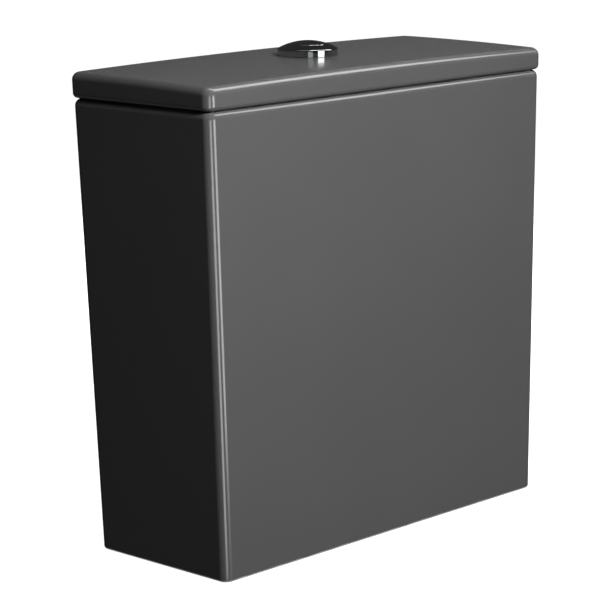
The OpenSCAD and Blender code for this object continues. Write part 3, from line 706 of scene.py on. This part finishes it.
def build_button(name, side, node):
    """One half of the twin button; side is 1 for the full flush and -1 for the half flush."""
    z = BUTTON_Z
    low, flange = z + HEAD_LOW, z + FLANGE_TOP
    head = [(0.05, low + 1.2), (BUTTON_R - 3, low + 1.2), (BUTTON_R - 2, low), (FLANGE_R - 0.2, low),
            (FLANGE_R, low + 0.2), (FLANGE_R, flange - 0.2), (FLANGE_R - 0.2, flange), (BUTTON_R, flange)]
    head += arc(BUTTON_R - 0.6, dome_at(BUTTON_R - 0.6) - 0.58, 0.6, 0, 70, 6)
    head += [(r, dome_at(r)) for r in (14, 13, 12, 11, 10, 9, 8, 7, 6, 5, 4, 3, 2, 1, 0.05)]
    button = turned(name, head, sides=128)
    cut_x = SPLIT_X + side * SPLIT_GAP / 2
    bpy.ops.mesh.bisect(
        plane_co=mm(cut_x, 0, 0), plane_no=(1, 0, 0), use_fill=True,
        clear_inner=side > 0, clear_outer=side < 0,
    )

    def along_split(edge):
        on_cut = all(abs(v.co.x - mm(cut_x)) < 1e-6 for v in edge.verts)
        return on_cut and min(v.co.z for v in edge.verts) > mm(flange + 1)

    ease(button, along_split, 0.3, 3)
    foot = z - SLEEVE_L - 0.3
    stem = [(2.05, foot + 12), (2.05, foot + 0.3), (2.35, foot), (STEM_R - 0.3, foot), (STEM_R, foot + 0.3),
            (STEM_R, low + 1.4), (2.05, low + 1.4)]
    guide = turned("button_stem", stem, (side * ROD_X, ROD_Y), 40, ring=True)
    join(button, guide)
    settle(button)
    return hand_over(button, node, "chrome", CHROME, node)


build_tank()
build_lid()
build_bezel()
build_button("full_flush_button", 1, "full_button")
build_button("half_flush_button", -1, "half_button")

# Fittings inside the tank and under the lid


def core(piece, around, radius, depth, low, high):
    """Cuts an upright shank back to the core of its thread between two heights."""
    open_up(piece)
    for z in (low, low + 0.4, high - 0.4, high):
        bpy.ops.mesh.select_all(action="SELECT")
        bpy.ops.mesh.bisect(plane_co=mm(0, 0, z), plane_no=(0, 0, 1))

    def on_shank(v):
        out = math.hypot(v.co.x - mm(around[0]), v.co.y - mm(around[1]))
        return mm(radius - 0.6) < out < mm(radius + 0.06) and mm(low + 0.3) < v.co.z < mm(high - 0.3)

    choose(piece, "VERT", on_shank)
    small = (radius - depth) / radius
    bpy.ops.transform.resize(value=(small, small, 1), center_override=mm(*around, 0))
    put_down()


def float_trim():
    """A bead round the float cup's foot and ribs up its wall."""
    bead = [(27.5, 150.2), (28.4, 150.4), (28.8, 151.2), (28.8, 152.2), (28.4, 153), (27.5, 153.2)]
    trim = turned("float_bead", bead, INLET, ring=True)
    rib = block("float_rib", (-0.9, -0.7, 153), (0.9, 0.7, 191))
    ease(rib, upright, 0.35, 3)
    ease(rib, brim(1), 0.5, 2)
    bpy.ops.mesh.select_all(action="SELECT")
    bpy.ops.transform.translate(value=mm(INLET[0], INLET[1] + 28, 0))
    bpy.ops.mesh.spin(steps=12, dupli=True, angle=2 * math.pi, center=mm(*INLET, 0), axis=(0, 0, 1))
    bpy.ops.mesh.select_all(action="SELECT")
    bpy.ops.mesh.remove_doubles(threshold=mm(0.005))
    return join(trim, rib)


# Patterns of the threads, each copied to where it stands
SHANK = wound("shank_thread", SHANK_R, COARSE_DEPTH, 1.8, -17.7, 17.3, steps=48)
SHANK_BORE = turned("shank_bore", [(SHANK_BORE_R, -19), (SHANK_BORE_R, 19)], sides=48)
combine(SHANK, SHANK_BORE, "DIFFERENCE")
BOLT = wound("bolt_thread", BOLT_R, COARSE_DEPTH, 1.25, -27.7, 18.3, steps=28)
ROD = wound("rod_thread", ROD_R, FINE_DEPTH, 0.7, 300.8, 326.7, steps=20)
# Pattern, radius, depth, lowest and highest point of the core, and the places
THREADS = {
    "fill_body": (SHANK, SHANK_R, COARSE_DEPTH, (-18.5, 17.6), [INLET]),
    "pan_bolts": (BOLT, BOLT_R, COARSE_DEPTH, (-28.5, 18.6), BOLTS),
    "full_rod": (ROD, ROD_R, FINE_DEPTH, (300, 327), [(ROD_X, ROD_Y)]),
    "half_rod": (ROD, ROD_R, FINE_DEPTH, (300, 327), [(-ROD_X, ROD_Y)]),
}


def trimmed(node, body, slot):
    """A copy of a CAD node, with its flats made whole, its edges eased and its threads cut."""
    put_down()
    piece = bpy.data.objects.new(node + "_moulding", cad[node].data.copy())
    bpy.context.collection.objects.link(piece)
    piece.data.name = piece.name
    open_up(piece)
    bpy.ops.mesh.select_mode(type="VERT")
    bpy.ops.mesh.remove_doubles(threshold=mm(0.005))
    bpy.ops.mesh.dissolve_limited(angle_limit=math.radians(0.5))
    put_down()
    bevel = add_modifier(piece, "BEVEL")
    bevel.width = mm(MOULDED_R)
    bevel.segments = 2
    bevel.limit_method = "ANGLE"
    bevel.angle_limit = math.radians(40)
    apply_modifier(piece, bevel)
    if node in THREADS:
        thread, radius, depth, reach, places = THREADS[node]
        for around in places:
            core(piece, around, radius, depth, *reach)
            join(piece, copied(thread, "thread", (*around, 0)))
    if node == "fill_float":
        join(piece, float_trim())
    settle(piece, 40)
    return hand_over(piece, body, slot, FINISHES[slot], node)


SPRING_LOW, SPRING_HIGH = BUTTON_Z - SLEEVE_L + 3.05, BUTTON_Z + HEAD_LOW - 0.05


def wind_spring(name):
    """A wound spring with closed end turns, about the upright axis."""
    wire, coil = 0.45, STEM_R + 1
    parts = []
    for label, low, turns, rise in (
        ("low_turn", SPRING_LOW + wire, 1, 2 * wire),
        ("turns", SPRING_LOW + 3 * wire, 7, SPRING_HIGH - SPRING_LOW - 6 * wire),
        ("high_turn", SPRING_HIGH - 3 * wire, 1, 2 * wire),
    ):
        put_down()
        bpy.ops.mesh.primitive_circle_add(
            vertices=10, radius=mm(wire), location=(0, 0, 0), rotation=(math.pi / 2, 0, 0),
            enter_editmode=True,
        )
        part = named(name + "_" + label)
        bpy.ops.transform.translate(value=mm(coil, 0, low))
        pick_up(part)
        bpy.ops.object.transform_apply(location=True, rotation=True, scale=True)
        wind(part, rise / turns, turns, 32)
        parts.append(part)
    spring = join(*parts)
    open_up(spring)
    bpy.ops.mesh.remove_doubles(threshold=mm(0.01))
    choose_open_edges()
    bpy.ops.mesh.fill_holes(sides=0)
    bpy.ops.mesh.select_all(action="SELECT")
    bpy.ops.mesh.normals_make_consistent(inside=False)
    return settle(spring)


def place_spring(spring, node):
    """Hands over a spring and gives it a mesh of its own."""
    hand_over(spring, "lid", "steel", FINISHES["steel"], node)
    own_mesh(spring)


SPRING = wind_spring("spring")
for name, side, node, joint in (
    ("full_flush_spring", 1, "full_spring", "full_press"),
    ("half_flush_spring", -1, "half_spring", "half_press"),
):
    place_spring(copied(SPRING, name, (side * ROD_X, ROD_Y, 0)), node)

SLOTS = {part["node"]: part["material_slot"] for part in frame["record"]["subparts"]}
MADE = ("tank", "lid", "button_bezel", "full_button", "half_button", "full_spring", "half_spring")
for body, nodes in frame["record"]["behaviour"]["bodies"].items():
    for node in nodes:
        if node not in MADE:
            trimmed(node, body, SLOTS[node])

# The patterns that the threads and springs were copied from
for pattern in (SHANK, BOLT, ROD, SPRING):
    pick_up(pattern)
    bpy.ops.object.delete()


# Studio


def put_camera():
    """The photograph's camera: 46 degrees round to the left, 11 degrees up, rolled by 0.7 degrees."""
    turn, lift, roll = (math.radians(a) for a in (-46.17, 11.357, -0.682))
    back = Vector((math.sin(turn) * math.cos(lift), -math.cos(turn) * math.cos(lift), math.sin(lift)))
    right = Vector((math.cos(turn), math.sin(turn), 0))
    up = back.cross(right)
    right, up = (
        right * math.cos(roll) + up * math.sin(roll),
        up * math.cos(roll) - right * math.sin(roll),
    )
    put_down()
    bpy.ops.object.camera_add()
    camera = bpy.context.active_object
    camera.name = "photograph_camera"
    camera.data.lens = 145.67
    camera.data.sensor_width = 36
    camera.data.clip_end = 20
    spot = Vector(mm(-13.25, -10.0, 168.158)) + back * 1.9124
    camera.matrix_world = Matrix((
        (right.x, up.x, back.x, spot.x),
        (right.y, up.y, back.y, spot.y),
        (right.z, up.z, back.z, spot.z),
        (0, 0, 0, 1),
    ))
    bpy.context.scene.camera = camera


def hold_back(lamp):
    """Keeps a lamp out of first reflections, so that it shows in the button's wall by way of the lid."""
    lamp.data.use_nodes = True
    tree = lamp.data.node_tree
    path = tree.nodes.new("ShaderNodeLightPath")
    second = tree.nodes.new("ShaderNodeMath")
    second.operation = "GREATER_THAN"
    second.inputs[1].default_value = 1.5
    tree.links.new(path.outputs["Glossy Depth"], second.inputs[0])
    tree.links.new(second.outputs["Value"], tree.nodes["Emission"].inputs["Strength"])


GLINT, SECOND_GLINT, SOFT = "glint", "second glint", "soft"


def add_lamp(name, spot, target, wide, tall, watts, kind):
    """A flat lamp that the camera doesn't see.

    It shows as a glint in the gloss, or only in a second reflection, or it just sheds soft light.
    """
    put_down()
    bpy.ops.object.light_add(type="AREA", location=spot)
    lamp = bpy.context.active_object
    lamp.name = name
    lamp.data.shape = "RECTANGLE"
    lamp.data.size = wide
    lamp.data.size_y = tall
    lamp.data.energy = watts
    lamp.visible_camera = False
    lamp.visible_diffuse = kind == SOFT
    lamp.visible_glossy = kind != SOFT
    lamp.rotation_euler = (Vector(target) - Vector(spot)).to_track_quat("-Z", "Y").to_euler()
    if kind == SECOND_GLINT:
        hold_back(lamp)


def put_floor():
    """A pale floor, white to the camera but for the object's shadow.

    All other rays pass through it, so that the glaze shows the feet of the lamps, and so does a look
    from below.
    """
    put_down()
    bpy.ops.mesh.primitive_plane_add(size=12, location=(0, 0, 0))
    floor = named("studio_floor")
    material = bpy.data.materials.new("pale_floor")
    material.use_nodes = True
    tree = material.node_tree
    tree.nodes.clear()
    new, link = tree.nodes.new, tree.links.new
    place = new("ShaderNodeTexCoord")
    away = new("ShaderNodeVectorMath")
    away.operation = "LENGTH"
    fade = map_node(tree, 0.3, 1.1, 0.9, 1.0)
    glow = new("ShaderNodeEmission")
    shade = new("ShaderNodeBsdfDiffuse")
    shade.inputs["Color"].default_value = (0.3, 0.3, 0.3, 1)
    seen = new("ShaderNodeAddShader")
    path = new("ShaderNodeLightPath")
    side = new("ShaderNodeNewGeometry")
    from_above = new("ShaderNodeMath")
    from_above.operation = "SUBTRACT"
    from_above.use_clamp = True
    clear = new("ShaderNodeBsdfTransparent")
    by_eye = new("ShaderNodeMixShader")
    out = new("ShaderNodeOutputMaterial")
    link(place.outputs["Object"], away.inputs[0])
    link(away.outputs["Value"], fade.inputs["Value"])
    link(fade.outputs["Result"], glow.inputs["Strength"])
    link(glow.outputs["Emission"], seen.inputs[0])
    link(shade.outputs["BSDF"], seen.inputs[1])
    link(path.outputs["Is Camera Ray"], from_above.inputs[0])
    link(side.outputs["Backfacing"], from_above.inputs[1])
    link(from_above.outputs["Value"], by_eye.inputs["Fac"])
    link(clear.outputs["BSDF"], by_eye.inputs[1])
    link(seen.outputs["Shader"], by_eye.inputs[2])
    link(by_eye.outputs["Shader"], out.inputs["Surface"])
    floor.data.materials.append(material)


def put_world():
    """White to the eye; for other rays a dim room, lit above and below, with black cloth in front."""
    world = bpy.data.worlds.new("studio")
    world.use_nodes = True
    bpy.context.scene.world = world
    tree = world.node_tree
    tree.nodes.clear()
    new, link = tree.nodes.new, tree.links.new
    path = new("ShaderNodeLightPath")
    place = new("ShaderNodeTexCoord")
    front = new("ShaderNodeVectorMath")
    front.operation = "DOT_PRODUCT"
    front.inputs[1].default_value = (0, -1, 0)
    cloth = map_node(tree, 0.48, 0.52, 1, 0.05)
    white = new("ShaderNodeBackground")
    dim = new("ShaderNodeBackground")
    room = new("ShaderNodeMath")
    room.operation = "MULTIPLY"
    room.inputs[1].default_value = 0.042
    height = new("ShaderNodeSeparateXYZ")
    overhead = map_node(tree, 0.9, 0.97, 0, 0.6)
    below = map_node(tree, -0.7, -0.4, 0.12, 0)
    lit = new("ShaderNodeMath")
    lit.operation = "ADD"
    light = new("ShaderNodeMath")
    light.operation = "ADD"
    share = new("ShaderNodeMath")
    share.operation = "MULTIPLY_ADD"
    share.inputs[1].default_value = 0.01
    clear = new("ShaderNodeMath")
    clear.operation = "ADD"
    clear.use_clamp = True
    mix = new("ShaderNodeMixShader")
    out = new("ShaderNodeOutputWorld")
    link(place.outputs["Generated"], front.inputs[0])
    link(front.outputs["Value"], cloth.inputs["Value"])
    link(cloth.outputs["Result"], room.inputs[0])
    link(place.outputs["Generated"], height.inputs["Vector"])
    link(height.outputs["Z"], overhead.inputs["Value"])
    link(height.outputs["Z"], below.inputs["Value"])
    link(overhead.outputs["Result"], lit.inputs[0])
    link(below.outputs["Result"], lit.inputs[1])
    link(room.outputs["Value"], light.inputs[0])
    link(lit.outputs["Value"], light.inputs[1])
    link(light.outputs["Value"], dim.inputs["Strength"])
    link(path.outputs["Is Glossy Ray"], share.inputs[0])
    link(path.outputs["Is Camera Ray"], share.inputs[2])
    link(share.outputs["Value"], clear.inputs[0])
    link(path.outputs["Is Transmission Ray"], clear.inputs[1])
    link(clear.outputs["Value"], mix.inputs["Fac"])
    link(dim.outputs["Background"], mix.inputs[1])
    link(white.outputs["Background"], mix.inputs[2])
    link(mix.outputs["Shader"], out.inputs["Surface"])


put_camera()
put_floor()
put_world()
# Name, place, aim, width and height in metres, watts and kind
for lamp in (
    ("key_glint", (1.122, -3.862, -0.602), (-0.18, -0.08, -0.602), 1.82, 0.796, 31, GLINT),
    ("key_band_glint", (0.12, -0.95, 0.29), (0.12, -0.08, 0.29), 0.44, 0.18, 1.41, GLINT),
    ("key_top_glint", (0.12, -0.95, 0.48), (0.12, -0.08, 0.48), 0.44, 0.2, 1.57, SECOND_GLINT),
    ("strip_glint", (-0.6, -0.85, -0.025), (-0.02, -0.02, -0.025), 0.33, 0.55, 2.9, GLINT),
    ("strip_top_glint", (-0.6, -0.85, 0.375), (-0.02, -0.02, 0.375), 0.33, 0.25, 0.32, SECOND_GLINT),
    ("over_glint", (0.55, -0.37, 1.3), (0.02, -0.1, 0.36), 0.38, 1.3, 9.5, GLINT),
    ("back_glint", (0.55, 1.05, -0.1), (0.0, 0.06, 0.1), 0.2, 0.7, 0.6, GLINT),
    ("front_light", (-0.23, -1.15, 1.02), (0.0, -0.08, 0.18), 0.4, 0.4, 34, SOFT),
    ("top_light", (1.0, 0.05, 1.15), (0.0, 0.0, 0.36), 0.5, 0.5, 13, SOFT),
    ("back_light", (0.9, 1.1, 0.8), (0.0, 0.0, 0.2), 1.0, 1.0, 32, SOFT),
    ("under_light", (0.05, -0.02, -1.2), (0.0, 0.0, 0.0), 0.5, 0.5, 6, SOFT),
):
    add_lamp(*lamp)

bpy.context.scene.view_settings.view_transform = "Standard"
